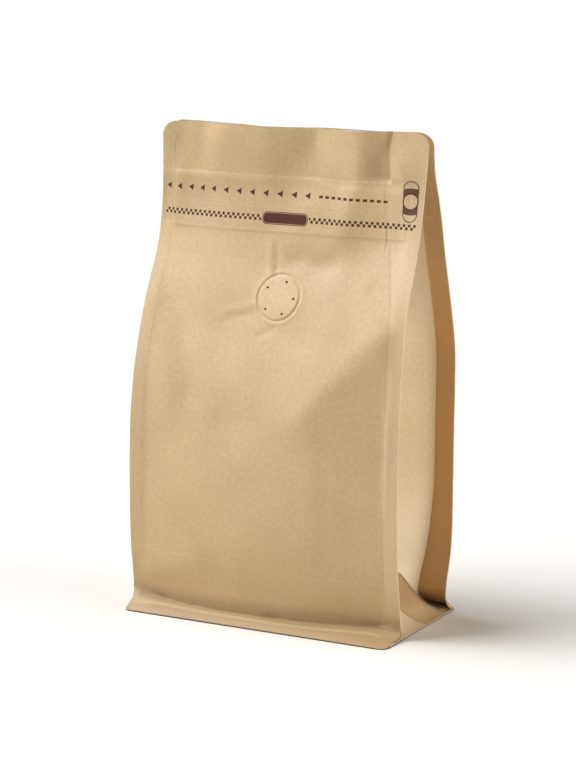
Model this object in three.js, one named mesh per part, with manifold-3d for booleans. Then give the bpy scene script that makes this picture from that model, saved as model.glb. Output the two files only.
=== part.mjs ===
// A flat-bottom coffee bag of kraft-paper laminate, filled and shut, in millimetres, +Z up.
// The front faces -Y, and the origin is the middle of the footprint, on the surface it stands on.
// The bag is one solid: two panels joined by folded side gussets, with sealed margins along the
// four upright edges and a sealed foot that spreads on the floor. The header is pressed nearly flat.
import * as THREE from 'three';
import { mergeVertices } from 'three/addons/utils/BufferGeometryUtils.js';
import Module from 'manifold-3d';

// Overall sizes
const bagWidth = 130;
const bagHeight = 215;
const footDepth = 73.5;
const halfWidth = bagWidth / 2;
const halfFoot = footDepth / 2;

// Sealed margins, corners and folds
const sealWidth = 7.5;
const flangeThickness = 1;
const leastThickness = 1.8;
const topCornerRadius = 6.5;
const footCornerRadius = 4;
const footEdge = 0.8;
const frontCurl = 8.4;
const backCurl = 6;
const rightCornerCurl = 3.4;
const halfGusset = 31.5;
const flapHeight = 25;
const flapReach = 25;
const valleyShift = 6.5;
const valleyHeight = 70;

// Degassing valve, pressed up from inside the front panel
const valveRadius = 10.6;
const valveRise = 0.5;
const valveSunk = 2.5;
const valveX = 5.9;
const valveZ = 143.5;

// Upright edges seen from the side, as distances along Y:
// height, front left, front right, back left and back right
const edgeStations = [
  [0, -26.6, -21.2, 24.8, 24.8],
  [12, -27.0, -22.4, 25.0, 25.0],
  [30, -29.0, -25.2, 30.0, 30.0],
  [55, -29.5, -26.4, 31.1, 31.1],
  [85, -28.3, -25.6, 31.4, 31.4],
  [105, -25.2, -24.3, 31.9, 31.9],
  [120, -21.0, -22.6, 31.3, 31.3],
  [140, -13.3, -19.0, 28.0, 26.4],
  [160, -3.3, -10.8, 23.2, 20.3],
  [175, 0.6, -5.5, 19.2, 16.5],
  [195, 1.9, -1.0, 13.4, 10.6],
  [215, 2.4, 2.8, 9.8, 7.4],
];

// How far the middle of each panel stands out from the line between its edges: height, front, back
const bellyStations = [
  [0, 0.5, 0.5],
  [12, 3.5, 3.0],
  [30, 5.5, 4.6],
  [60, 7.6, 5.0],
  [100, 8.8, 4.7],
  [130, 8.5, 4.2],
  [150, 7.0, 1.5],
  [165, 5.0, -3.5],
  [180, 2.5, -7.5],
  [200, 1.0, -7.5],
  [215, 1.0, -6.0],
];

// Folds of the header: place along X, half width, and depth away from the viewer in front
const headerWaves = [
  [-42, 12, 1.0],
  [-7, 15, -2.6],
  [30, 11, 3.2],
  [52, 6, -1.6],
];
const waveStart = 160;
const waveFull = 205;

function smoothStep(value) {
  const t = THREE.MathUtils.clamp(value, 0, 1);
  return t * t * (3 - 2 * t);
}

// Smooth curve through the stations' chosen column, with slopes taken from the neighbours
function alongHeight(stations, column, z) {
  let i = 0;
  while (i < stations.length - 2 && z > stations[i + 1][0]) i += 1;
  const here = stations[i];
  const next = stations[i + 1];
  const before = stations[Math.max(i - 1, 0)];
  const after = stations[Math.min(i + 2, stations.length - 1)];
  const span = next[0] - here[0];
  const slopeHere = (next[column] - before[column]) / (next[0] - before[0]);
  const slopeNext = (after[column] - here[column]) / (after[0] - here[0]);
  const t = (z - here[0]) / span;
  const turn = t * t * (3 - 2 * t);
  const leave = t * (1 - t) * (1 - t) * span;
  const arrive = t * t * (t - 1) * span;
  return here[column] * (1 - turn) + next[column] * turn + slopeHere * leave + slopeNext * arrive;
}

function headerWave(x, z) {
  const amount = smoothStep((z - waveStart) / (waveFull - waveStart));
  let depth = 0;
  for (const [place, spread, size] of headerWaves) {
    depth += size * Math.exp(-(((x - place) / spread) ** 2));
  }
  return amount * depth;
}

// The belly rises from the sealed margins in a full curve, flattest in the middle
function bellyShape(x) {
  const t = Math.min(Math.abs(x) / (halfWidth - sealWidth), 1);
  return (1 - t ** 2.4) ** 1.3;
}

// The share of the foot in the panel's outline: all of it on the floor, none above the curl
function footShare(curl, z) {
  const t = THREE.MathUtils.clamp(1 - (z - footEdge) / curl, 0, 1);
  return t ** 1.5;
}

// The front of the foot curls up less at its right end, where it lies almost flat on the floor
function frontCurlAt(x) {
  return THREE.MathUtils.lerp(frontCurl, rightCornerCurl, smoothStep((x / halfWidth - 0.5) * 2));
}

function footOutline(x) {
  const over = Math.max(Math.abs(x) - (halfWidth - footCornerRadius), 0);
  const corner = footCornerRadius - Math.sqrt(footCornerRadius ** 2 - over ** 2);
  return halfFoot - corner;
}

function frontPanel(x, z) {
  const across = 0.5 + x / bagWidth;
  const left = alongHeight(edgeStations, 1, z);
  const right = alongHeight(edgeStations, 2, z);
  const line = THREE.MathUtils.lerp(left, right, across);
  const panel = line - alongHeight(bellyStations, 1, z) * bellyShape(x) + headerWave(x, z);
  return THREE.MathUtils.lerp(panel, -footOutline(x), footShare(frontCurlAt(x), z));
}

function backPanel(x, z) {
  const across = 0.5 + x / bagWidth;
  const left = alongHeight(edgeStations, 3, z);
  const right = alongHeight(edgeStations, 4, z);
  const line = THREE.MathUtils.lerp(left, right, across);
  const panel = line + alongHeight(bellyStations, 2, z) * bellyShape(x);
  const back = THREE.MathUtils.lerp(panel, footOutline(x), footShare(backCurl, z));
  return Math.max(back, frontPanel(x, z) + leastThickness);
}

// Half width of the panels, which shrinks round the top corners
function panelHalfWidth(z) {
  const over = Math.max(z - (bagHeight - topCornerRadius), 0);
  return halfWidth - topCornerRadius + Math.sqrt(topCornerRadius ** 2 - over ** 2);
}

// Side flap of the bottom: its middle crease and its seam to the gusset, at a height
function flapCreaseX(z) {
  return halfWidth - flapReach * (z / flapHeight) ** 0.43;
}

function flapSeamX(z) {
  return halfWidth - flapReach * (z / flapHeight) ** 0.5;
}

function flapSeamY(z) {
  return 2.5 + 24 * (1 - (z / flapHeight) ** 1.6);
}

// The gusset keeps its length, so the narrower the bag is here the deeper the gusset folds in
function gussetCreaseX(side, z) {
  const edgeX = side * halfWidth;
  const halfDepth = (backPanel(edgeX, z) - frontPanel(edgeX, z)) / 2;
  const fold = Math.sqrt(Math.max(halfGusset ** 2 - halfDepth ** 2, 0));
  return halfWidth - sealWidth - fold;
}

function valleyX(z) {
  const shifted = halfWidth - sealWidth - valleyShift * smoothStep(1 - z / valleyHeight);
  return z < flapHeight ? Math.max(shifted, flapSeamX(z) + 0.4) : shifted;
}

function sheetThickness(x, z) {
  return Math.min(flangeThickness, (backPanel(x, z) - frontPanel(x, z)) * 0.4);
}

// One side of a section from the front margin round the gusset to the back margin
function sideOutline(side, z) {
  const edge = panelHalfWidth(z);
  const valley = Math.min(valleyX(z), edge - 0.4);
  const inFlap = z < flapHeight;
  const crease = inFlap ? Math.min(flapCreaseX(z), edge) : gussetCreaseX(side, z);
  const front = [];
  const back = [];
  const add = (x, share, setBack) => {
    const frontY = frontPanel(side * x, z);
    const backY = backPanel(side * x, z);
    const sheet = sheetThickness(side * x, z);
    const middle = (frontY + backY) / 2;
    const frontFace = frontY + sheet + setBack;
    const backFace = backY - sheet - setBack;
    front.push([side * x, THREE.MathUtils.lerp(frontFace, middle, share)]);
    back.push([side * x, THREE.MathUtils.lerp(backFace, middle, share)]);
  };
  add(edge, 0, 0);
  add(valley, 0, inFlap ? 0.3 : 0);
  if (inFlap) {
    const seamX = Math.min(flapSeamX(z), edge);
    const seamY = flapSeamY(z);
    const frontY = Math.max(front[1][1] + 0.3, -seamY);
    const backY = Math.min(back[1][1] - 0.3, seamY);
    front.push([side * seamX, frontY], [side * (seamX + crease) / 2, frontY / 2]);
    back.push([side * seamX, backY], [side * (seamX + crease) / 2, backY / 2]);
    front.push([side * crease, 0]);
  } else {
    add(THREE.MathUtils.lerp(valley, crease, 0.35), 0.35, 0);
    add(THREE.MathUtils.lerp(valley, crease, 0.7), 0.7, 0);
    add(crease, 1, 0);
    back.pop();
  }
  return front.concat(back.reverse());
}

// Places along a panel, closer together round the corners than across the belly
function panelPlaces(z) {
  const edge = panelHalfWidth(z);
  const margin = halfWidth - sealWidth;
  const half = [edge];
  for (const inward of [1.2, 3.2, 5.4]) half.push(Math.min(halfWidth - inward, edge - inward * 0.3));
  const steps = 7;
  for (let i = 0; i < steps; i += 1) half.push(Math.min(margin, edge - 2) * (1 - i / steps));
  return half;
}

// A whole section as a closed outline, anticlockwise seen from above
function sectionOutline(z) {
  const half = panelPlaces(z);
  const across = half.map((x) => -x).concat([0], half.slice().reverse());
  const front = across.map((x) => [x, frontPanel(x, z)]);
  const back = across.slice().reverse().map((x) => [x, backPanel(x, z)]);
  const right = sideOutline(1, z);
  const left = sideOutline(-1, z).reverse();
  return front.concat(right, back, left);
}

// Heights of the sections: dense at the foot's curl and the top corners
function sectionHeights() {
  const heights = [0, footEdge, 1.4, 2.1, 2.9, 3.8, 4.8, 5.9, 7.1, 8.4, 9.8, 13, 17, 21, flapHeight];
  for (let z = 32; z < 120; z += 11) heights.push(z);
  for (let z = 124; z < bagHeight - topCornerRadius; z += 7) heights.push(z);
  const turns = 5;
  for (let i = 0; i <= turns; i += 1) {
    const angle = (i / turns) * (Math.PI / 2);
    heights.push(bagHeight - topCornerRadius * (1 - Math.sin(angle)));
  }
  return heights;
}

// Closed surface through the sections, capped flat at the foot and at the top
function loft(heights, outlineAt) {
  const positions = [];
  const outlines = heights.map(outlineAt);
  const count = outlines[0].length;
  outlines.forEach((outline, ring) => {
    for (const [x, y] of outline) positions.push(x, y, heights[ring]);
  });
  const index = [];
  for (let ring = 0; ring < heights.length - 1; ring += 1) {
    for (let i = 0; i < count; i += 1) {
      const a = ring * count + i;
      const b = ring * count + ((i + 1) % count);
      index.push(a, b, b + count, a, b + count, a + count);
    }
  }
  const cap = (ring, faceUp) => {
    const points = outlines[ring].map(([x, y]) => new THREE.Vector2(x, y));
    for (const [a, b, c] of THREE.ShapeUtils.triangulateShape(points, [])) {
      const turned = faceUp ? [a, b, c] : [a, c, b];
      for (const corner of turned) index.push(ring * count + corner);
    }
  };
  cap(0, false);
  cap(heights.length - 1, true);
  const geometry = new THREE.BufferGeometry();
  geometry.setAttribute('position', new THREE.Float32BufferAttribute(positions, 3));
  geometry.setIndex(index);
  return geometry;
}

// Low disc square to the front panel, which stands a little proud of the paper
function valveDisc() {
  const step = 4;
  const y = frontPanel(valveX, valveZ);
  const rise = frontPanel(valveX, valveZ + step) - frontPanel(valveX, valveZ - step);
  const turn = frontPanel(valveX + step, valveZ) - frontPanel(valveX - step, valveZ);
  const outward = new THREE.Vector3(turn, -2 * step, rise).normalize();
  const height = valveRise + valveSunk;
  const disc = new THREE.CylinderGeometry(valveRadius, valveRadius, height, 40);
  disc.applyQuaternion(new THREE.Quaternion().setFromUnitVectors(new THREE.Vector3(0, 1, 0), outward));
  const middle = (valveRise - valveSunk) / 2;
  disc.translate(valveX + outward.x * middle, y + outward.y * middle, valveZ + outward.z * middle);
  return disc;
}

const wasm = await Module();
wasm.setup();

function toSolid(geometry) {
  const bare = geometry.clone();
  bare.deleteAttribute('normal');
  bare.deleteAttribute('uv');
  const merged = mergeVertices(bare, 1e-4);
  const vertProperties = new Float32Array(merged.attributes.position.array);
  const triVerts = new Uint32Array(merged.index.array);
  return new wasm.Manifold(new wasm.Mesh({ numProp: 3, vertProperties, triVerts }));
}

function toGeometry(solid) {
  const mesh = solid.getMesh();
  const geometry = new THREE.BufferGeometry();
  geometry.setAttribute('position', new THREE.BufferAttribute(new Float32Array(mesh.vertProperties), 3));
  geometry.setIndex(new THREE.BufferAttribute(new Uint32Array(mesh.triVerts), 1));
  geometry.computeVertexNormals();
  return geometry;
}

function bagGeometry() {
  const body = toSolid(loft(sectionHeights(), sectionOutline));
  return toGeometry(body.add(toSolid(valveDisc())));
}

const kraftPaper = new THREE.MeshStandardMaterial({ color: 0xcdb083, roughness: 0.85, metalness: 0 });
const bag = new THREE.Mesh(bagGeometry(), kraftPaper);
bag.name = 'bag';

const part = new THREE.Group();
part.add(bag);

export default part;
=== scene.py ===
import math
import bpy
import numpy as np
from mathutils import Matrix, Vector


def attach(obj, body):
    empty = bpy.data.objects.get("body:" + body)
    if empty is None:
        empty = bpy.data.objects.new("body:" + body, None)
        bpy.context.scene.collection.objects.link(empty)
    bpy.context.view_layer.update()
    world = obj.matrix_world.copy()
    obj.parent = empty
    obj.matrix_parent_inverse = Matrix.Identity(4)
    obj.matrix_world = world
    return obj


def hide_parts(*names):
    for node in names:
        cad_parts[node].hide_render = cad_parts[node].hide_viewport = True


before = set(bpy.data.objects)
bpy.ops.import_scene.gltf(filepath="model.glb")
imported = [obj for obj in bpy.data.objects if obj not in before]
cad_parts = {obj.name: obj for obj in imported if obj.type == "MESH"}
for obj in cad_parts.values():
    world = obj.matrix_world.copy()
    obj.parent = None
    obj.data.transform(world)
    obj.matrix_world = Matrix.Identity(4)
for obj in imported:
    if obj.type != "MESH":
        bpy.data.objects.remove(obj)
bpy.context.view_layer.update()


# Camera: 28 degrees round from the front towards the right side and 11 degrees above level, 1.1 m away,
# with the lens that gives the bag the size it has in the picture.
azimuth = math.radians(28.142)
elevation = math.radians(11.171)
distance = 1.10542
aim_height = 0.1
shift_right, shift_up = -0.000913, 0.00231
picture_height = 768
focal_length = 2519.346 / picture_height
sensor_width = 36

away = Vector((
    math.sin(azimuth) * math.cos(elevation),
    -math.cos(azimuth) * math.cos(elevation),
    math.sin(elevation),
))
to_right = Vector((math.cos(azimuth), math.sin(azimuth), 0))
upwards = away.cross(to_right)
viewpoint = Vector((0, 0, aim_height)) + away * distance + to_right * shift_right + upwards * shift_up
bpy.ops.object.camera_add()
camera = bpy.context.object
camera.data.sensor_width = sensor_width
camera.data.lens = focal_length * sensor_width
camera.matrix_world = Matrix.Translation(viewpoint) @ Matrix((to_right, upwards, away)).transposed().to_4x4()
bpy.context.scene.camera = camera


# Studio: a wide pale floor, a large soft key from the upper left of the front, a soft light high on the left,
# one low from the right, which reaches the side gusset but not the front, and a weak even fill.
bpy.ops.object.select_all(action="DESELECT")
bpy.ops.mesh.primitive_plane_add(size=24)
floor = bpy.context.object
floor.name = "floor"
floor_paint = bpy.data.materials.new("pale_floor")
floor_paint.use_nodes = True
floor_surface = floor_paint.node_tree.nodes["Principled BSDF"]
floor_surface.inputs["Base Color"].default_value = (0.76, 0.73, 0.66, 1)
floor_surface.inputs["Roughness"].default_value = 0.9
floor.data.materials.append(floor_paint)


def soft_light(name, side, height, spread, strength, colour=(1, 1, 1)):
    """A wide even light from an angle round from the front (right is positive) and above level."""
    turn, lift = math.radians(side), math.radians(height)
    direction = Vector((math.sin(turn) * math.cos(lift), -math.cos(turn) * math.cos(lift), math.sin(lift)))
    bpy.ops.object.light_add(type="SUN", location=direction)
    light = bpy.context.object
    light.name = name
    light.data.angle = math.radians(spread)
    light.data.energy = strength
    light.data.color = colour
    light.rotation_euler = direction.to_track_quat("Z", "Y").to_euler()


soft_light("key_light", side=-60, height=36, spread=45, strength=2.55, colour=(0.98, 1, 1.08))
soft_light("high_light", side=-80, height=62, spread=45, strength=2.3, colour=(0.98, 1, 1.1))
soft_light("side_light", side=96, height=4, spread=45, strength=3.4)
soft_light("rim_light", side=120, height=62, spread=40, strength=0.5)
world = bpy.data.worlds.new("studio")
bpy.context.scene.world = world
world.use_nodes = True
world.node_tree.nodes["Background"].inputs["Color"].default_value = (1, 1, 1, 1)
world.node_tree.nodes["Background"].inputs["Strength"].default_value = 0.05
bpy.context.scene.view_settings.view_transform = "Standard"


# Front panel: one sheet of kraft paper laminated to a barrier film, 0.35 mm thick, sealed to the gussets
# along both sides and to the base sheet at the foot, which curls out on to the floor. It is pressed from
# inside by the coffee, the zip and the degassing valve, and carries the printed opening marks.
millimetre = 0.001
half_width = 65.0
bag_height = 215.0
half_foot = 36.75
seal_width = 7.5
top_corner = 6.5
foot_corner = 4.0
sheet_thickness = 0.35
floor_edge = 0.75
# The foot's height, and the length of paper in it, which the rows below that height share out evenly
foot_height = 14.0
foot_length = 18.0
# Millimetres of paper in one unit of the UV map
uv_unit = 100.0

# Place along Y of the upright edges: height, front left, front right, back left, back right
edge_stations = (
    (0, -26.6, -21.2, 24.8, 24.8),
    (12, -27.0, -22.4, 25.0, 25.0),
    (30, -29.0, -25.2, 30.0, 30.0),
    (55, -29.5, -26.4, 31.1, 31.1),
    (85, -28.3, -25.6, 31.4, 31.4),
    (105, -25.2, -24.3, 31.9, 31.9),
    (120, -21.0, -22.6, 31.3, 31.3),
    (140, -13.3, -19.0, 28.0, 26.4),
    (160, -3.3, -10.8, 23.2, 20.3),
    (175, 0.6, -5.5, 19.2, 16.5),
    (195, 1.9, -1.0, 13.4, 10.6),
    (215, 2.4, 2.8, 9.8, 7.4),
)
# How far the middle of each panel stands out from the line between its edges: height, front, back
belly_stations = (
    (0, 5.0, 3.0),
    (12, 5.0, 4.0),
    (27, 4.7, 4.6),
    (60, 7.4, 5.0),
    (100, 7.6, 4.7),
    (130, 5.8, 4.2),
    (150, 5.2, 1.5),
    (165, 4.6, -3.5),
    (180, 3.2, -7.5),
    (200, 1.4, -7.5),
    (215, 1.0, -6.0),
)
# The foot's flange: place along X, then three bends as distance in from the floor edge and height
foot_stations = (
    (-65, 1.65, 1.6, 4.65, 3.4, 8.95, 7.0),
    (-60, 2.4, 2.3, 6.0, 4.1, 9.4, 6.4),
    (-55, 2.6, 2.6, 6.0, 4.2, 9.7, 5.6),
    (-48, 2.6, 2.6, 5.4, 4.0, 9.4, 5.1),
    (-35, 2.3, 2.5, 4.6, 3.7, 8.4, 4.6),
    (-13, 2.0, 2.3, 3.9, 3.4, 7.2, 4.0),
    (5, 2.0, 2.3, 3.9, 3.4, 7.4, 4.0),
    (25, 2.2, 2.4, 4.3, 3.4, 9.0, 4.1),
    (40, 2.5, 2.4, 6.0, 3.6, 11.2, 4.6),
    (54, 2.8, 2.2, 8.2, 3.8, 13.6, 5.2),
    (60, 4.5, 2.0, 12.0, 3.3, 15.0, 5.6),
    (65, 5.0, 1.5, 12.5, 2.7, 15.4, 4.2),
)
# Waves of the header and the zip band: place along X, how far the paper lies behind the even surface
# below the height 172, about 188 and above 212
header_stations = (
    (-65, 0, 0.3, 0),
    (-57, -0.1, 0.5, 0),
    (-50, -0.4, 0.2, -0.25),
    (-43, -0.55, -0.1, -0.45),
    (-36, -0.6, 0.1, -1.9),
    (-30, -0.45, 0.3, -2.8),
    (-25, -0.2, 0.5, -3.5),
    (-19.5, 0, 0.5, -4.4),
    (-14, 0.3, 0.4, -4.8),
    (-9, 0.6, 0.4, -4.5),
    (-5, 0.8, 0.5, -3.4),
    (1, 1.05, 0.6, -1.9),
    (6, 1.2, 0.8, -1.1),
    (11, 1.3, 1, -0.95),
    (15, 1.35, 1, -1.7),
    (20, 1.25, 0.7, -3.1),
    (27, 1.1, 0.3, -4.9),
    (33, 0.85, 0, -5.65),
    (37, 0.65, -0.2, -5),
    (41, 0.5, -0.3, -3.75),
    (46, 0.3, -0.4, -2.6),
    (50, -0.4, -0.4, -2.3),
    (54, -0.8, -0.4, -2.3),
    (58, -0.9, -0.2, -1.8),
    (62, -0.4, 0, -0.7),
    (65, 0, 0, 0),
)
# Folds pressed into the paper: from X and height, to X and height, half width, depth into the bag
front_folds = (
    (-11.1, 69.9, -31.9, 147.1, 16, 3.95),
    (-23.5, 151.5, 56.5, 151.5, 16, 3.61),
    (10.2, 84.2, 66.8, 140.8, 10, -2.94),
    (53.1, 20.1, -24.1, 40.9, 16, -2.64),
    (-31.1, 79.9, -51.9, 157.1, 10, 2.59),
    (8.6, 208, -39.6, 221, 16, -2.22),
    (-2.1, 155.1, 75.1, 175.9, 10, 1.95),
    (75.8, 179.2, 19.2, 235.8, 6, -1.75),
    (12.9, 69.9, -7.9, 147.1, 16, 1.69),
    (30.5, 26.5, 30.5, 106.5, 10, -0.6),
    (-3.5, 210.5, 76.5, 210.5, 10, 1.63),
    (-67, 155.4, -54, 203.6, 6, -0.9),
    (74.8, 181.2, 18.2, 237.8, 6, -1.59),
    (-36, 176.8, -61, 220.2, 10, 0.9),
    (11.2, 181.8, -24.2, 217.2, 10, 1.56),
    (26.1, 162.9, 46.9, 240.1, 6, -1.53),
    (-67.6, 15, -19.4, 28, 10, -1.49),
    (16.1, 61.1, -61.1, 81.9, 16, 1.42),
    (-30.8, 147.8, -66.2, 183.2, 16, -1.25),
    (-90.5, 171.5, -10.5, 171.5, 3.5, -0.2),
    (21.1, 117.5, -48.1, 157.5, 10, 1.19),
    (13, 120.5, 28, 146.5, 10, 1.15),
    (42.5, 17.5, 42.5, 97.5, 10, 1.09),
    (11.2, 100, -32.2, 125, 16, 0.87),
    (14.5, 192.5, 94.5, 192.5, 2, 0.7),
    (60.5, 53.5, 60.5, 103.5, 2, -0.7),
    (60.5, 54.5, 60.5, 104.5, 2, -0.7),
    (33.5, 20.5, 33.5, 100.5, 3.5, 0.53),
    (62.5, 38.5, 62.5, 118.5, 3.5, -0.14),
    (2.4, 146.4, 30.6, 174.6, 5, -0.48),
    (61.7, 134.3, 43.3, 152.7, 5, 0.77),
    (62.5, 80.5, 62.5, 120.5, 2.2, -0.77),
    (12.4, 93.4, 40.6, 121.6, 5, 0.37),
    # Small wrinkles round the valve and below the zip, and a pucker in the side seal
    (-5.8, 168, -2.4, 149, 1.7, -0.42),
    (-3.0, 166, 0, 150, 1.6, 0.3),
    (-26, 134.5, -5.5, 140, 1.8, -0.3),
    (-25, 131.5, -5, 136.5, 2, 0.25),
    (-6, 125.5, 4.5, 131, 1.3, 0.35),
    (2, 159, 30, 157, 4, 0.8),
    (48.6, 179, 49.3, 165, 0.5, 0.15),
)
# The header is pressed in above the zip band and ends in a step near the right margin
zip_band = (169, 192.5)
header_step_x = 48.8


def smooth(share):
    """0 below 0 and 1 above 1, with a soft step between."""
    share = np.clip(share, 0, 1)
    return share * share * (3 - 2 * share)


def ridge(off, half):
    """1 on the line of a fold, falling off evenly to both sides."""
    return np.exp(-((off / half) ** 2))


def along(stations, column, place):
    """Smooth curve through one column of the stations, with slopes taken from the neighbours."""
    table = np.array(stations, float)
    at, value = table[:, 0], table[:, column]
    slope = np.empty(len(at))
    slope[1:-1] = (value[2:] - value[:-2]) / (at[2:] - at[:-2])
    slope[0] = (value[1] - value[0]) / (at[1] - at[0])
    slope[-1] = (value[-1] - value[-2]) / (at[-1] - at[-2])
    i = np.clip(np.searchsorted(at, place, side="right") - 1, 0, len(at) - 2)
    span = at[i + 1] - at[i]
    t = np.clip((place - at[i]) / span, 0, 1)
    turn = t * t * (3 - 2 * t)
    leave = t * (1 - t) ** 2 * span
    arrive = t * t * (t - 1) * span
    return value[i] * (1 - turn) + value[i + 1] * turn + slope[i] * leave + slope[i + 1] * arrive


def fold_depth(folds, x, z):
    """Depth of all the folds at a place: each is a rounded furrow that fades out at both ends."""
    depth = 0
    for x0, z0, x1, z1, half, deep in folds:
        length = math.hypot(x1 - x0, z1 - z0)
        along_x, along_z = (x1 - x0) / length, (z1 - z0) / length
        run = (x - x0) * along_x + (z - z0) * along_z
        off = (x - x0) * along_z - (z - z0) * along_x
        fade = 0.35 * length
        ends = smooth(run / fade + 0.2) * smooth((length - run) / fade + 0.2)
        depth = depth + deep * ends * ridge(off, half)
    return depth


def belly_shape(x):
    """How full the belly is across the panel: 1 in the middle, 0 on the sealed margins."""
    share = np.minimum(np.abs(x) / (half_width - seal_width), 1)
    return (1 - share ** 2.4) ** 1.3


def foot_outline(x):
    """Half depth of the foot, less round its corners."""
    over = np.clip(np.abs(x) - (half_width - foot_corner), 0, foot_corner)
    return half_foot - foot_corner + np.sqrt(foot_corner ** 2 - over ** 2)


def header_wave(x, z):
    """How far the header and the zip band lie behind the even surface."""
    low, middle, high = (along(header_stations, column, x) for column in (1, 2, 3))
    to_middle = smooth((z - 172) / 18)
    to_high = smooth((z - 186) / 26)
    depth = low * (1 - to_middle) + middle * to_middle
    return (depth * (1 - to_high) + high * to_high) * smooth((z - 158) / 18)


def zip_relief(x, z):
    """The band over the zip stands out; above it the header is pressed in, up to the step at the side seal."""
    low, high = zip_band
    step = 1.9 * smooth((x - 27) / 23) * (1 - smooth((x - header_step_x) / 0.6)) * smooth((z - high - 0.5) / 2.5)
    band = smooth((z - low) / 1.5) * (1 - smooth((z - high) / 1.5)) * (1 - smooth((np.abs(x) - 57) / 2))
    return step - 0.35 * band


def front_wall(x, z):
    """Place along Y of the front above its foot."""
    across = 0.5 + x / (2 * half_width)
    line = along(edge_stations, 1, z) * (1 - across) + along(edge_stations, 2, z) * across
    wall = line - along(belly_stations, 1, z) * belly_shape(x) + header_wave(x, z)
    # The folds fade out on the sealed margins and towards the foot
    inner = (1 - smooth((np.abs(x) - 54) / 11)) * smooth((z - 4) / 16)
    return wall + fold_depth(front_folds, x, z) * inner + zip_relief(x, z)


def flange_reach(stations, x, z):
    """Distance in from the floor edge of the foot's flange, which runs on past its last bend."""
    a1, z1, a2, z2, a3, z3 = (along(stations, column, x) for column in range(1, 7))
    total = 0
    # The mean over nearby heights rounds the bends
    shifts = (-0.8, -0.4, 0, 0.4, 0.8)
    for shift in shifts:
        at = z + shift
        low = a1 * np.clip((at - floor_edge) / (z1 - floor_edge), 0, 1)
        middle = (a2 - a1) * np.clip((at - z1) / (z2 - z1), 0, 1)
        high = (a3 - a2) * np.clip((at - z2) / (z3 - z2), 0, None)
        total = total + low + middle + high
    return total / len(shifts) * smooth((z - floor_edge) / 0.5)


def crease_join(flange, wall, x):
    """The nearer of two distances, with the corner between them rounded, more so towards the bag's edges."""
    radius = 0.8 + 3.2 * smooth((-x - 46) / 10) + 3.2 * smooth((x - 50) / 15)
    blend = np.clip(0.5 + (wall - flange) / (2 * radius), 0, 1)
    return wall * (1 - blend) + flange * blend - radius * blend * (1 - blend)


def front_face(x, z):
    """Place along Y of the whole front, foot included."""
    wall = front_wall(x, z)
    flange = flange_reach(foot_stations, x, z) - foot_outline(x)
    return np.where(z < foot_height, crease_join(flange, wall, x), wall)


def lay_sheet(name, columns, rows):
    """A flat sheet with a point at each column and row: across along X, up the bag along Y."""
    bpy.ops.object.select_all(action="DESELECT")
    bpy.ops.mesh.primitive_grid_add(x_subdivisions=len(columns) - 1, y_subdivisions=len(rows) - 1, size=1)
    sheet = bpy.context.object
    sheet.name = name
    flat = np.zeros((len(rows), len(columns), 3))
    flat[:, :, 0] = columns[None, :]
    flat[:, :, 1] = rows[:, None]
    sheet.data.vertices.foreach_set("co", flat.ravel())
    sheet.data.update()
    return sheet


def sheet_places(sheet):
    """The sheet's points, one row each."""
    places = np.empty(len(sheet.data.vertices) * 3)
    sheet.data.vertices.foreach_get("co", places)
    return places.reshape(-1, 3)


def refine(sheet, middle_x, middle_y, radius, cuts):
    """Cuts the faces round a place finer, for details smaller than the sheet's own faces."""
    bpy.ops.object.mode_set(mode="EDIT")
    bpy.ops.mesh.select_mode(type="FACE")
    bpy.ops.mesh.select_all(action="DESELECT")
    bpy.ops.object.mode_set(mode="OBJECT")
    for face in sheet.data.polygons:
        spot = face.center
        face.select = math.hypot(spot.x - middle_x, spot.y - middle_y) < radius
    bpy.ops.object.mode_set(mode="EDIT")
    bpy.ops.mesh.subdivide(number_cuts=cuts)
    bpy.ops.mesh.select_all(action="DESELECT")
    bpy.ops.object.mode_set(mode="OBJECT")


def shape_sheet(sheet, paper, places, materials):
    """Moves the flat sheet to its place, keeps its flat form as the UV map, and gives it its thickness."""
    mesh = sheet.data
    layer = mesh.uv_layers[0]
    layer.name = "paper"
    corners = np.empty(len(mesh.loops), int)
    mesh.loops.foreach_get("vertex_index", corners)
    layer.data.foreach_set("uv", (paper[corners] / uv_unit).ravel())
    mesh.vertices.foreach_set("co", (places * millimetre).ravel())
    mesh.update()
    for material in materials:
        mesh.materials.append(material)
    bpy.ops.object.select_all(action="DESELECT")
    sheet.select_set(True)
    bpy.context.view_layer.objects.active = sheet
    # Where rows of the flat sheet run together at one place, their points become one
    bpy.ops.object.mode_set(mode="EDIT")
    bpy.ops.mesh.select_all(action="SELECT")
    bpy.ops.mesh.remove_doubles(threshold=0.000001)
    bpy.ops.object.mode_set(mode="OBJECT")
    wall = sheet.modifiers.new("thickness", "SOLIDIFY")
    wall.thickness = sheet_thickness * millimetre
    wall.offset = -1
    wall.material_offset_rim = 1
    bpy.ops.object.modifier_apply(modifier="thickness")
    bpy.ops.object.shade_smooth_by_angle(angle=math.radians(50))


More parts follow.
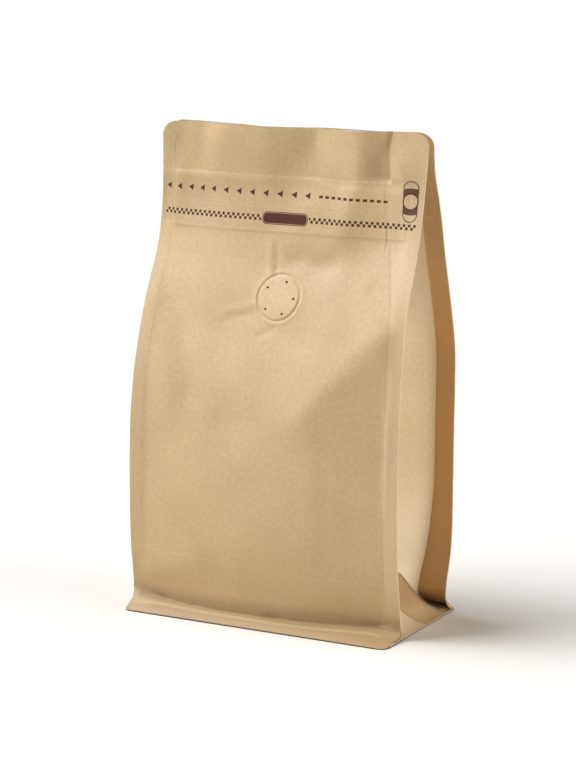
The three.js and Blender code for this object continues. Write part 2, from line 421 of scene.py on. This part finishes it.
class Tone:
    """A value or colour in a material, on which Python's own signs build the nodes."""

    def __init__(self, tree, socket):
        self.tree = tree
        self.socket = socket

    def node(self, kind, settings, values, output=0):
        made = self.tree.nodes.new(kind)
        for name, setting in settings.items():
            setattr(made, name, setting)
        for name, value in values.items():
            if isinstance(value, Tone):
                self.tree.links.new(value.socket, made.inputs[name])
            else:
                made.inputs[name].default_value = value
        return Tone(self.tree, made.outputs[output])

    def math(self, operation, first, second=0.0):
        return self.node("ShaderNodeMath", {"operation": operation}, {0: first, 1: second})

    def __add__(self, other):
        return self.math("ADD", self, other)

    def __radd__(self, other):
        return self.math("ADD", other, self)

    def __sub__(self, other):
        return self.math("SUBTRACT", self, other)

    def __rsub__(self, other):
        return self.math("SUBTRACT", other, self)

    def __mul__(self, other):
        return self.math("MULTIPLY", self, other)

    def __truediv__(self, other):
        return self.math("DIVIDE", self, other)

    def __abs__(self):
        return self.math("ABSOLUTE", self)

    def root(self):
        return self.math("SQRT", self)

    def whole(self):
        return self.math("FLOOR", self)

    def within(self, pitch):
        """What is left over after whole pitches."""
        return self.math("FLOORED_MODULO", self, pitch)

    def least(self, other):
        return self.math("MINIMUM", self, other)

    def most(self, other):
        return self.math("MAXIMUM", self, other)

    def rise(self, low, high):
        """0 below low and 1 above high, with a soft step between; falls where low is above high."""
        return self.node(
            "ShaderNodeMapRange",
            {"interpolation_type": "SMOOTHSTEP"},
            {"Value": self, "From Min": low, "From Max": high},
        )

    def line(self, at, outer, inner):
        """1 within inner of a value and 0 beyond outer."""
        return abs(self - at).rise(outer, inner)

    def tint(self, under, over):
        """A colour between two, by this value."""
        return self.node(
            "ShaderNodeMix",
            {"data_type": "RGBA"},
            {"Factor": self, 6: under, 7: over},
            output=2,
        )


def paper_material(name, kraft, marks=None, roughness=0.5):
    """Brown kraft paper over film: clouded pulp, fine fibres both ways, faint rolled lines and a dull sheen.
    marks is a function of the place on the paper in millimetres and the paper's colour. It gives the colour
    with print and tones, the lines pressed into the relief, and where there is ink, or None without ink."""
    material = bpy.data.materials.new(name)
    material.use_nodes = True
    tree = material.node_tree
    surface = tree.nodes["Principled BSDF"]
    surface.inputs["Roughness"].default_value = roughness
    surface.inputs["Specular IOR Level"].default_value = 0.4
    start = Tone(tree, None)
    place = start.node("ShaderNodeUVMap", {"uv_map": "paper"}, {})
    spot = start.node("ShaderNodeVectorMath", {"operation": "SCALE"}, {0: place, "Scale": uv_unit})
    apart = start.node("ShaderNodeSeparateXYZ", {}, {0: spot})
    across, up = (Tone(tree, apart.socket.node.outputs[axis]) for axis in "XY")

    def noise(stretch_x, stretch_y, detail, rough=0.55):
        stretched = start.node(
            "ShaderNodeVectorMath", {"operation": "MULTIPLY"}, {0: spot, 1: (stretch_x, stretch_y, 1)}
        )
        return start.node(
            "ShaderNodeTexNoise", {}, {"Vector": stretched, "Scale": 1.0, "Detail": detail, "Roughness": rough}
        )

    clouds = noise(0.045, 0.045, 3.0) - 0.5
    pulp = noise(0.55, 0.55, 4.0, 0.65) - 0.5
    grain = noise(3.1, 3.1, 2.0) - 0.5
    lying = noise(0.9, 6.5, 2.0, 0.6) - 0.5
    upright = noise(7.5, 0.5, 2.0, 0.6) - 0.5
    shade = 1 + clouds * 0.22 + pulp * 0.46 + grain * 0.34 + lying * 0.36 + upright * 0.30
    base = start.node("ShaderNodeVectorMath", {"operation": "SCALE"}, {0: kraft[:3], "Scale": shade})
    flecks = noise(0.9, 3.6, 2.0, 0.5).rise(0.70, 0.78)
    fleck_colour = tuple(channel * 0.55 for channel in kraft[:3]) + (1,)
    colour = (flecks * 0.28).tint(base, fleck_colour)
    relief = pulp * 0.5 + grain * 0.35 + lying * 0.35 + upright * 0.3
    if marks:
        colour, pressed, ink = marks(across, up, colour)
        relief = relief + pressed
        if ink:
            dull = ink * 0.5 + roughness
            tree.links.new(dull.socket, surface.inputs["Roughness"])
    tree.links.new(colour.socket, surface.inputs["Base Color"])
    bump = start.node("ShaderNodeBump", {}, {"Strength": 0.35, "Distance": 0.00012, "Height": relief})
    tree.links.new(bump.socket, surface.inputs["Normal"])
    return material


kraft_colour = (0.57, 0.398, 0.205, 1)
ink_colour = (0.075, 0.020, 0.010, 1)
# Painted highlight and sheen, on the foot's rim, the gusset wall and the front half of the flap
painted_sheen_colour = (0.80, 0.66, 0.46, 1)
# Painted highlight on the sealed right margin
margin_highlight_colour = (0.72, 0.55, 0.36, 1)
worn_colour = (0.74, 0.58, 0.38, 1)
# Painted shade towards the foot
foot_shade_colour = (0.48, 0.30, 0.115, 1)
shaded_colour = (0.30, 0.19, 0.075, 1)
# Painted deep shade, in the foot's crease, the pucker at the zip's end and the gap under the gussets' back margins
deep_shade_colour = (0.10, 0.05, 0.015, 1)
# Painted shade inside the valve's pinholes
hole_shade_colour = (0.02, 0.01, 0.005, 1)
# The valve's circle is a little wider than it is tall
valve_x, valve_z, valve_radius = 3.2, 143.2, 10.25
valve_squash = 1.09
pinhole_radius = 7.6
pinhole_angles = (72, 146, 2, 225, 297)
strip_height, strip_end = 175.8, 62.5
square = 1.25
arrow_height = 186.12
arrow_pitch, arrow_length = 6.8, 2.65
first_arrow, last_arrow = -66.55, 11.5
dash_start, dash_end = 15.6, 48.7
dash_pitch = 3.1
tab_x, tab_height = 59.1, 186.4
tab_straight = 5.3
tab_round = 3.2
# Pressed lines: the crease above the foot, three over the zip, the edges of the side seals, ribs in the seals
crease_height = 26.55
zip_line_heights = (170.4, 180.7, 193.4)
left_seal_x, right_seal_x = -58.5, 58.3
rib_pitch = 1.15


def distance_of(first, second):
    """Length of a way that goes first along one axis and second along the other."""
    return (first * first + second * second).root()


def chequered_strip(across, up):
    """Two rows of squares from side to side, with a plain dark lozenge in the middle."""
    side = (across + strip_end) / square
    level = (up - strip_height) / square
    column, row = side.whole(), level.whole()
    odd = (column + row).within(2.0).rise(0.4, 0.6)
    inside = abs(side - column - 0.5).rise(0.52, 0.45) * abs(level - row - 0.5).rise(0.52, 0.45)
    strip = abs(across).rise(strip_end + 0.05, strip_end - 0.05) * abs(level).rise(1.02, 0.98)
    past_side = (abs(across - 0.1) - 8.9).most(0.0)
    past_level = (abs(up - strip_height) - 0.5).most(0.0)
    from_core = distance_of(past_side, past_level).most(past_side * 0.9 + past_level * 0.35)
    lozenge = from_core.rise(2.3, 2.1) * (1 - from_core.line(1.75, 0.2, 0.08) * 0.6)
    clear = from_core.rise(2.75, 2.65)
    return (odd * inside * strip * (1 - clear)).most(lozenge)


def arrow_row(across, up):
    """Twelve triangles that point left, closer together at the left end, then dashes up to the tab."""
    drawn_in = across - (-36.0 - across).most(0.0) * 0.14
    step = (drawn_in - first_arrow - 0.2).within(arrow_pitch)
    height = abs(up + across * 0.0076 - arrow_height)
    arrows = (height - step * 0.54).rise(0.08, -0.08) * step.rise(arrow_length + 0.07, arrow_length - 0.07)
    arrows = arrows * drawn_in.rise(first_arrow - 0.05, first_arrow + 0.05)
    arrows = arrows * drawn_in.rise(last_arrow + 0.1, last_arrow - 0.1)
    dash = (across - dash_start).within(dash_pitch)
    dashes = dash.rise(2.0, 1.85) * dash.rise(0.0, 0.1) * height.rise(0.62, 0.5)
    dashes = dashes * across.rise(dash_start - 0.1, dash_start) * across.rise(dash_end + 0.1, dash_end - 0.1)
    return arrows.most(dashes)


def tab_mark(across, up):
    """An upright outline with round ends, two bands and an open ring."""
    dx = abs(across - tab_x)
    dy = abs(up - tab_height)
    reach = distance_of(dx, (dy - tab_straight).most(0.0))
    hub = distance_of(dx, dy)
    bowed = dy + dx * dx * 0.05
    bands = bowed.rise(2.6, 2.7) * bowed.rise(5.7, 5.6) * reach.rise(tab_round, tab_round - 0.1)
    bands = bands * hub.rise(3.2, 3.3)
    return reach.line(tab_round, 0.26, 0.16).most(bands * 0.92).most(hub.line(3.35, 0.34, 0.22))


def pinholes(across, up):
    """The valve's small holes; their dark colour is painted shade."""
    holes = 0.0
    for angle in pinhole_angles:
        x = valve_x + pinhole_radius * math.cos(math.radians(angle))
        z = valve_z + pinhole_radius / valve_squash * math.sin(math.radians(angle))
        holes = holes + distance_of(across - x, (up - z) * valve_squash).rise(0.62, 0.44)
    return holes


def opening_marks(across, up, paper):
    """The front's print and dark pinholes, its pressed lines, paler worn lines, and the painted shade and highlights
    on its paper.
    """
    print_mask = chequered_strip(across, up).most(arrow_row(across, up)).most(tab_mark(across, up))
    holes = pinholes(across, up)
    # Pressed lines; the right seal widens towards the header
    seal_x = right_seal_x - up.rise(129.0, 191.0) * 11.3
    seal_line = across.line(seal_x, 0.6, 0.15) + across.line(left_seal_x, 0.6, 0.15) * 0.7
    crease = (up + across * 0.0315).line(crease_height, 0.35, 0.05)
    zip_low, zip_middle, zip_high = zip_line_heights
    zip_lines = up.line(zip_high, 0.5, 0.1) + up.line(zip_low, 0.5, 0.1) * 0.8
    zip_lines = zip_lines + abs(up - zip_middle).line(0.8, 0.35, 0.05) * 0.6
    ribs = abs(up.within(rib_pitch) - rib_pitch / 2) * across.rise(57.5, 58.5) * 0.5
    pressed = zip_lines * 0.9 + crease * 0.8 - seal_line * 1.1 + ribs
    # Painted shade: the paper is darker and warmer towards the foot, most of all in the foot's crease and in spots
    # along it
    toned = (up.rise(70.0, 8.0) * 0.35).tint(paper, foot_shade_colour)
    crease_shade = up.rise(13.0, 6.0) * up.rise(3.4, 4.6) * 0.34 + up.rise(4.6, 3.4) * 0.20 + up.rise(1.5, -2.0) * 0.10
    for x, z in ((-51.5, 6.5), (5.5, 4.8), (53.0, 5.8)):
        crease_shade = crease_shade + distance_of((across - x) * 0.4, up - z).rise(3.2, 0.0) * 0.15
    # Painted shade also lies in the pucker of the margin at the end of the zip
    pucker = across.line(header_step_x + 0.1, 0.45, 0.15) * up.rise(164.0, 167.0) * up.rise(179.0, 177.0)
    toned = (crease_shade + pucker * 0.35).tint(toned, deep_shade_colour)
    # Painted highlight along the ridge of the foot's rim
    painted_sheen = abs(up - 1.1 + across.rise(-20.0, 30.0) * 1.8).rise(1.7, 0.2) * abs(across).rise(62.0, 54.0)
    toned = (painted_sheen * 0.26).tint(toned, painted_sheen_colour)
    # Painted shade in the zip band's left half, in the header's right end and along the seal lines; a painted
    # highlight on the sealed right margin
    zip_shade = up.rise(170.0, 172.5) * up.rise(192.5, 190.0) * across.rise(10.0, -30.0)
    header_shade = across.rise(28.0, 46.0) * across.rise(header_step_x + 0.3, header_step_x) * up.rise(193.0, 197.0)
    seal_shade = seal_line.least(1.0) * up.rise(14.0, 30.0)
    toned = (zip_shade * 0.22 + header_shade * 0.26 + seal_shade * 0.16).tint(toned, shaded_colour)
    # Painted highlight on the sealed right margin
    sealed = across.rise(header_step_x, header_step_x + 0.3) * (across - seal_x).rise(-0.2, 1.2) * up.rise(8.0, 20.0)
    toned = (sealed * 0.22).tint(toned, margin_highlight_colour)
    worn = (crease * 0.22 + zip_lines * 0.10).least(0.3)
    inked = (print_mask * 0.97).tint(worn.tint(toned, worn_colour), ink_colour)
    return holes.least(1.0).tint(inked, hole_shade_colour), pressed, print_mask.most(holes)


printed_kraft = paper_material("printed_kraft", kraft_colour, opening_marks)
cut_edge = paper_material("cut_edge", (0.60, 0.47, 0.31, 1), roughness=0.8)

columns = np.concatenate((
    np.arange(-half_width, -54, 0.6), np.arange(-54, 44, 1.15), np.arange(44, half_width + 0.01, 0.5),
))
columns[-1] = half_width
corner_base = bag_height - top_corner
corner_rows = corner_base + top_corner * np.sin(np.linspace(0, math.pi / 2, 10))
rows = np.concatenate((
    np.linspace(foot_height - foot_length, foot_height, 36)[:-1],
    np.arange(foot_height, 168, 1.25),
    np.arange(168, 196, 0.55),
    np.arange(196, corner_base - 0.5, 1.0),
    corner_rows,
))


def corner_width(height):
    """Half width of a panel, less round the top corners."""
    over = np.clip(height - corner_base, 0, top_corner)
    return half_width - top_corner + np.sqrt(top_corner ** 2 - over ** 2)


def narrowed(x, height):
    """Moves the outer columns in so that the sheet's edge follows its round top corners."""
    inner = 50.0
    outer = np.clip((np.abs(x) - inner) / (half_width - inner), 0, 1)
    return np.where(np.abs(x) > inner, np.sign(x) * (inner + outer * (corner_width(height) - inner)), x)


def foot_heights(face, x, run):
    """Heights of places in the foot, from their rows, and how much paper is between them and foot_height."""
    table = np.linspace(floor_edge, foot_height, 160)
    reach = face(x[:, None], table[None, :])
    steps = np.hypot(np.diff(reach, axis=1), np.diff(table)[None, :])
    length = np.concatenate((np.zeros((len(x), 1)), np.cumsum(steps, axis=1)), axis=1)
    share = np.clip((run + foot_length - foot_height) / foot_length, 0, 1)
    heights = np.empty(len(x))
    down = np.empty(len(x))
    for i in range(len(x)):
        heights[i] = np.interp(share[i] * length[i, -1], length[i], table)
        down[i] = (1 - share[i]) * length[i, -1]
    return heights, down


def panel_places(sheet, face):
    """Where the flat sheet goes, and its unstretched paper coordinates."""
    flat = sheet_places(sheet)
    up = flat[:, 1]
    x = narrowed(flat[:, 0], up)
    z = up.copy()
    paper_up = up.copy()
    low = up < foot_height
    z[low], down = foot_heights(face, x[low], up[low])
    paper_up[low] = foot_height - down
    return x, z, np.stack((x, paper_up), axis=1)


front = lay_sheet("front_panel", columns, rows)
refine(front, valve_x, valve_z, radius=12.6, cuts=2)
x, z, paper = panel_places(front, front_face)
# The valve's disc stands out behind a pressed groove and a low lip
from_ring = np.hypot(x - valve_x, (z - valve_z) * valve_squash) - valve_radius
groove = 0.36 * ridge(from_ring, 0.42)
disc = 0.25 * (1 - smooth((from_ring + 0.8) / 1.2))
lip = 0.16 * ridge(from_ring - 1.3, 0.8)
y = front_face(x, z) + groove - disc - lip
shape_sheet(front, paper, np.stack((x, y, z), axis=1), (printed_kraft, cut_edge))
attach(front, "root")
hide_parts("bag")


# Back panel: a second sheet of the same laminate, plain, sealed in the same way. It is pressed flat against
# the front panel in the middle of the header and parts from it towards both side margins.
back_foot_stations = (
    (-65, 1.65, 1.6, 4.65, 3.4, 8.5, 6.4),
    (-58, 2.6, 2.8, 7.4, 4.6, 9.6, 7.0),
    (0, 2.6, 2.9, 5.4, 4.1, 7.4, 6.0),
    (58, 2.6, 2.8, 7.4, 4.6, 9.6, 7.0),
    (65, 1.65, 1.6, 4.65, 3.4, 8.5, 6.4),
)
back_folds = (
    (-50, 150, -20, 128, 7, -0.9),
    (44, 152, 18, 126, 8, -1.0),
)
# Top edge of the back panel: place along X, place along Y
back_top_stations = (
    (-65, 9.8), (-56, 9.6), (-46, 8.4), (-40, 6.3), (-35, 4.5), (-28, 3.0), (-22, 1.4), (-12, -2.2), (-3, -1.4),
    (5, 1.0), (12, 3.6), (18, 3.9), (28, 3.0), (36, 2.0), (42, 1.0), (50, 1.2), (57, 3.6), (61, 5.6), (65, 7.4),
)


def back_wall(x, z):
    """Place along Y of the back above its foot."""
    across = 0.5 + x / (2 * half_width)
    line = along(edge_stations, 3, z) * (1 - across) + along(edge_stations, 4, z) * across
    wall = line + along(belly_stations, 2, z) * belly_shape(x) + fold_depth(back_folds, x, z)
    to_top = smooth((z - 186) / 24)
    return wall * (1 - to_top) + along(back_top_stations, 1, x) * to_top


def back_face(x, z):
    """Place along Y of the whole back, which never comes closer to the front than the paper between them."""
    wall = back_wall(x, z)
    flange = foot_outline(x) - flange_reach(back_foot_stations, x, z)
    face = np.where(z < foot_height, -crease_join(-flange, -wall, x), wall)
    # The folded gussets lie between the panels out at the sides
    layers = 2.2 + 3.2 * smooth((np.abs(x) - 18) / 7) * smooth((z - 130) / 30)
    return np.maximum(face, front_face(x, z) + layers * sheet_thickness)


plain_kraft = paper_material("plain_kraft", kraft_colour)
back_columns = np.concatenate((
    np.arange(-half_width, -54, 0.7), np.arange(-54, 54, 1.6), np.arange(54, half_width + 0.01, 0.7),
))
back_columns[-1] = half_width
back_rows = np.concatenate((
    np.linspace(foot_height - foot_length, foot_height, 28)[:-1],
    np.arange(foot_height, corner_base - 0.8, 1.5),
    corner_rows,
))
back = lay_sheet("back_panel", back_columns, back_rows)
# The sheet is laid out as seen from behind, so its X runs the other way
x, z, paper = panel_places(back, lambda x, z: back_face(-x, z))
shape_sheet(back, paper, np.stack((-x, back_face(-x, z), z), axis=1), (plain_kraft, cut_edge))
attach(back, "root")
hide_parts("bag")


# Side gussets: a sheet on each side that is creased down its middle and folds in between the panels. Its own
# margins are sealed to the panels' margins, and below the seam it turns out to a flap that reaches the floor.
half_gusset = 31.5
gusset_valley = 56.0
margin_width = half_width - gusset_valley
# Height at which the margins end on the foot
margin_base = 0.8
# Length of the flap from the seam to the floor edge, and of the paper drawn on it
flap_length = 25
flap_paper = 26.0
# Height of the flap's top on the middle crease, and up to where the wall's rows follow the flap's outline
flap_top = 25
rows_even = 30
# Half depth of the flap along the floor
flap_half = 32.2
# Fold between the wall and the flap, from the foot's corner to the middle crease: share across, X, height,
# and distance from the middle crease in front and behind
seam_stations = (
    (0, 40, 25, 0, 0),
    (0.12, 41.3, 24, 3.5, 3.6),
    (0.35, 44.8, 21.6, 8.5, 9.6),
    (0.5, 47.6, 18.8, 12.5, 14.6),
    (0.65, 49.6, 13.6, 16.5, 18.4),
    (0.82, 51, 6.8, 20, 24.9),
    (0.87, 53, 3.4, 21, 24.4),
    (0.91, 56, 2.1, 22.5, 23.6),
    (0.95, 60, 1.6, 28, 25),
    (1, 64.6, 0.8, 32, 31.9),
)
seam_table = np.array(seam_stations)


def inner_height(height):
    """Height at which a margin looks for its panel: a little higher, so further in, over the flat of the foot."""
    return height + 0.55 * (1 - smooth((height - 10) / 6))


def inner_front(x, height):
    """Place along Y of the gusset's margin against the front panel."""
    return front_face(x, inner_height(height)) + 2 * sheet_thickness


def inner_back(x, height):
    return back_face(x, inner_height(height)) - 2 * sheet_thickness


def seam_at(share, column):
    return np.interp(share, seam_table[:, 0], seam_table[:, column])


def seam_share(height):
    """Share across at which the seam has this height, 0 above the flap."""
    return np.interp(-height, -seam_table[:, 2], seam_table[:, 0], left=0.0)


def valley_x(height):
    """Where the wall leaves the margins along X."""
    shifted = gusset_valley - 5.0 * smooth(1 - height / 66)
    seam_x = seam_at(seam_share(height), 1)
    return np.where(height < flap_top, np.maximum(shifted, seam_x + 0.3), shifted)


def gusset_wall(side, share, height):
    """Place on the wall, share from -1 at the front valley to 1 at the back one."""
    valley = valley_x(height)
    front_y = inner_front(side * valley, height)
    back_y = inner_back(side * valley, height)
    half_depth = (back_y - front_y) / 2
    beside_flap = height < flap_top
    behind = share > 0
    # The middle crease lies as deep as the wall's fixed length allows; beside the flap the wall ends at the seam
    seam = seam_share(height)
    deep = np.sqrt(np.maximum(half_gusset ** 2 - half_depth ** 2, 0))
    crease_x = np.where(beside_flap, seam_at(seam, 1), gusset_valley - deep)
    seam_y = np.where(behind, seam_at(seam, 4), -seam_at(seam, 3))
    centre_y = (front_y + back_y) / 2 * smooth((height - flap_top) / 40)
    crease_y = np.where(beside_flap, seam_y, centre_y)
    valley_y = np.where(behind, back_y, front_y)
    outward = np.clip((np.abs(share) - seam) / np.maximum(1 - seam, 0.02), 0, 1)
    round_off = 0.02 + 0.4 * smooth((height - flap_top) / 35) * (1 - smooth((height - 140) / 40))
    rounded = (np.sqrt(outward ** 2 + round_off ** 2) - round_off) / (np.sqrt(1 + round_off ** 2) - round_off)
    x = crease_x + (valley - crease_x) * np.where(beside_flap, outward, rounded)
    y_wide = crease_y + (valley_y - crease_y) * outward
    # In the header both halves lie flat, each against its own panel
    inside_front = inner_front(side * x, height)
    inside_back = inner_back(side * x, height)
    middle = (inside_front + inside_back) / 2
    near = np.where(behind, inside_back, inside_front)
    y_flat = middle + (near - middle) * np.minimum(outward * 0.9 + 0.1, 1)
    flat = smooth((height - 150) / 35)
    return x, y_wide * (1 - flat) + y_flat * flat


def gusset_flap(share, t):
    """Place on the flap, t from 0 on the floor edge to 1 at the seam."""
    size = np.abs(share)
    seam_x, seam_z = seam_at(size, 1), seam_at(size, 2)
    seam_y = np.where(share > 0, seam_at(size, 4), -seam_at(size, 3))
    off = share * flap_half
    aside = 5.2 * smooth((1 - t) * 1.6) * (1 - share ** 2)
    x = half_width + (seam_x - half_width) * t
    y = off + (seam_y - off) * t + aside
    z = floor_edge + (seam_z - floor_edge) * t ** (2.35 - 0.5 * size)
    # A sharp crease down its middle, and a slack hollow in front of it
    ends = smooth(t * 8) * smooth((1 - t) * 5)
    crease = 1.6 * ridge(off, 0.4) - 0.4 * np.exp(off / 6) * (off < 0)
    return x, y, z - np.minimum(crease * ends, 0.6 * (z - floor_edge))


crease_shares = [-0.07, -0.045, -0.03, -0.018, -0.008, 0.0, 0.008, 0.018, 0.03, 0.045, 0.07]
shares = np.concatenate((-np.linspace(1, 0.1, 24), crease_shares, np.linspace(0.1, 1, 34)))
margin_steps = np.linspace(1, 0, 9)[:-1]
gusset_columns = np.concatenate((-1 - margin_steps, shares, 1 + margin_steps[::-1]))
gusset_rows = np.concatenate((
    np.linspace(-1, -0.06, 24),
    [-0.045, -0.034, -0.025, -0.017, -0.008, 0, 0.2, 0.4, 0.6, 0.85, 1.2, 1.7],
    np.linspace(2.4, rows_even, 24)[:-1],
    np.arange(rows_even, corner_base - 0.8, 1.6),
    corner_rows,
))


def gusset_places(side, flat):
    """Columns run from the front margin's edge round to the back margin's edge; rows below 0 are the flap."""
    column, row = flat[:, 0], flat[:, 1]
    share = np.clip(column, -1, 1)
    top = np.maximum(row, 0)
    seam_z = seam_at(np.abs(share), 2)
    height = np.where(top < rows_even, seam_z + (rows_even - seam_z) * top / rows_even, top)
    in_flap = row < 0
    wall_x, wall_y = gusset_wall(side, share, height)
    flap_x, flap_y, flap_z = gusset_flap(share, np.clip(row + 1, 0, 1))
    x, y, z = np.where(in_flap, (flap_x, flap_y, flap_z), (wall_x, wall_y, height))
    # The seam is a sharp fold that stands open a little, so it shows as a dark line
    from_seam = np.where(in_flap, -row * flap_length, top)
    x = x - 0.9 * ridge(from_seam, 0.45) * (np.abs(share) < 0.97)
    # The margins, which end on the foot
    out = np.clip(np.abs(column) - 1, 0, 1)
    z_margin = np.where(in_flap, margin_base, height)
    edge = np.minimum(corner_width(z_margin), half_width)
    valley = np.minimum(valley_x(z_margin), edge - 0.3)
    x_margin = valley + (edge - valley) * out
    y_front = inner_front(side * x_margin, z_margin)
    y_back = inner_back(side * x_margin, z_margin)
    y_margin = np.where(column > 0, y_back, y_front)
    x, y, z = np.where(np.abs(column) > 1, (x_margin, y_margin, z_margin), (x, y, z))
    return np.stack((side * x, y, z), axis=1)


# Painted shade: the margins in the bag's shade, the flap's back half in the back margin's shadow, and the flap's
# crease
margin_shade_colour = (0.54, 0.31, 0.125, 1)
flap_shadow_colour = (0.30, 0.12, 0.03, 1)
flap_crease_shade_colour = (0.12, 0.05, 0.02, 1)
cut_colour = (0.85, 0.62, 0.38, 1)


def gusset_tones(across, up, paper):
    """Painted sheen lightens the wall's paper and the flap's front half; painted shade darkens the sealed margins,
    the flap's back half and its middle crease, and a painted shadow fills the gap under the back margin.
    """
    wall = up.rise(-0.5, 0.5) * abs(across).rise(half_gusset + 0.2, half_gusset - 0.2)
    margin = abs(across).rise(half_gusset - 0.2, half_gusset + 0.2)
    flap = up.rise(0.5, -0.5)
    # Painted sheen on the wall, strongest low down and high up
    painted_sheen = wall * (up.rise(75.0, 30.0) * 0.5 + up.rise(110.0, 145.0) * 0.4 + 0.1)
    toned = painted_sheen.tint(paper, painted_sheen_colour)
    # Painted shade on the sealed margins, less towards the top
    toned = (margin * (0.85 - up.rise(135.0, 165.0) * 0.35)).tint(toned, margin_shade_colour)
    # Painted highlight on the flap's front half
    toned = (flap * across.rise(1.0, -1.0) * 0.45).tint(toned, painted_sheen_colour)
    # Painted shadow of the back margin on the flap's back half
    behind = flap * across.rise(-1.0, 1.0) * (up.rise(-18.0, -6.0) * 0.56 + 0.12)
    toned = behind.tint(toned, flap_shadow_colour)
    # Painted shade in the flap's middle crease
    toned = (flap * abs(across).rise(0.55, 0.15) * 0.6).tint(toned, flap_crease_shade_colour)
    # Painted shadow in the gap under the back margin, on the margin's foot and the flap's back end
    gap_shadow = margin * up.rise(13.0, 4.0) + flap * across.rise(20.0, 30.0) * up.rise(-20.0, -8.0)
    toned = (gap_shadow * 0.55).tint(toned, deep_shade_colour)
    # The cutter of the tab in front leaves its outline in the margin behind, and the sealing bars leave ribs
    cut_x = half_gusset + tab_x - gusset_valley
    past_straight = (abs(up - tab_height) - tab_straight).most(0.0)
    cut = distance_of(across - cut_x, past_straight).line(3.3, 0.3, 0.12)
    toned = (cut * 0.3).tint(toned, cut_colour)
    ribs = abs(up.within(rib_pitch) - rib_pitch / 2) * margin * 0.6
    return toned, ribs - cut * 1.5, None


gusset_kraft = paper_material("gusset_kraft", kraft_colour, gusset_tones)

for side, name in ((1, "right_gusset"), (-1, "left_gusset")):
    gusset = lay_sheet(name, gusset_columns, gusset_rows)
    flat = sheet_places(gusset)
    places = gusset_places(side, flat)
    column, row = flat[:, 0], flat[:, 1]
    in_margin = np.maximum(np.abs(column) - 1, 0)
    wide = half_gusset * np.clip(column, -1, 1) + margin_width * np.sign(column) * in_margin
    tall = np.where(row < 0, row * flap_paper, places[:, 2])
    if side < 0:
        # The mirrored sheet is turned over so that its paper still faces out
        bpy.ops.object.mode_set(mode="EDIT")
        bpy.ops.mesh.select_all(action="SELECT")
        bpy.ops.mesh.flip_normals()
        bpy.ops.object.mode_set(mode="OBJECT")
    shape_sheet(gusset, np.stack((wide, tall), axis=1), places, (gusset_kraft, cut_edge))
    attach(gusset, "root")
    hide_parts("bag")


# Base sheet: the flat bottom of the bag, cut with round corners, sealed under the flanges of all four sides.
# Its cut edge is dark, as it lies in the shadow under the foot.
base_columns = np.concatenate((
    np.arange(-half_width, -60, 0.5), np.linspace(-60, 60, 61), np.arange(60.5, half_width + 0.01, 0.5),
))
base_rows = np.linspace(-1, 1, 41)
base = lay_sheet("base_sheet", base_columns, base_rows)
flat = sheet_places(base)
places = np.stack((flat[:, 0], -flat[:, 1] * foot_outline(flat[:, 0]), np.zeros(len(flat))), axis=1)
base_edge = paper_material("base_edge", (0.035, 0.03, 0.018, 1), roughness=0.8)
shape_sheet(base, flat[:, :2] * (1, half_foot), places, (plain_kraft, base_edge))
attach(base, "root")
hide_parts("bag")
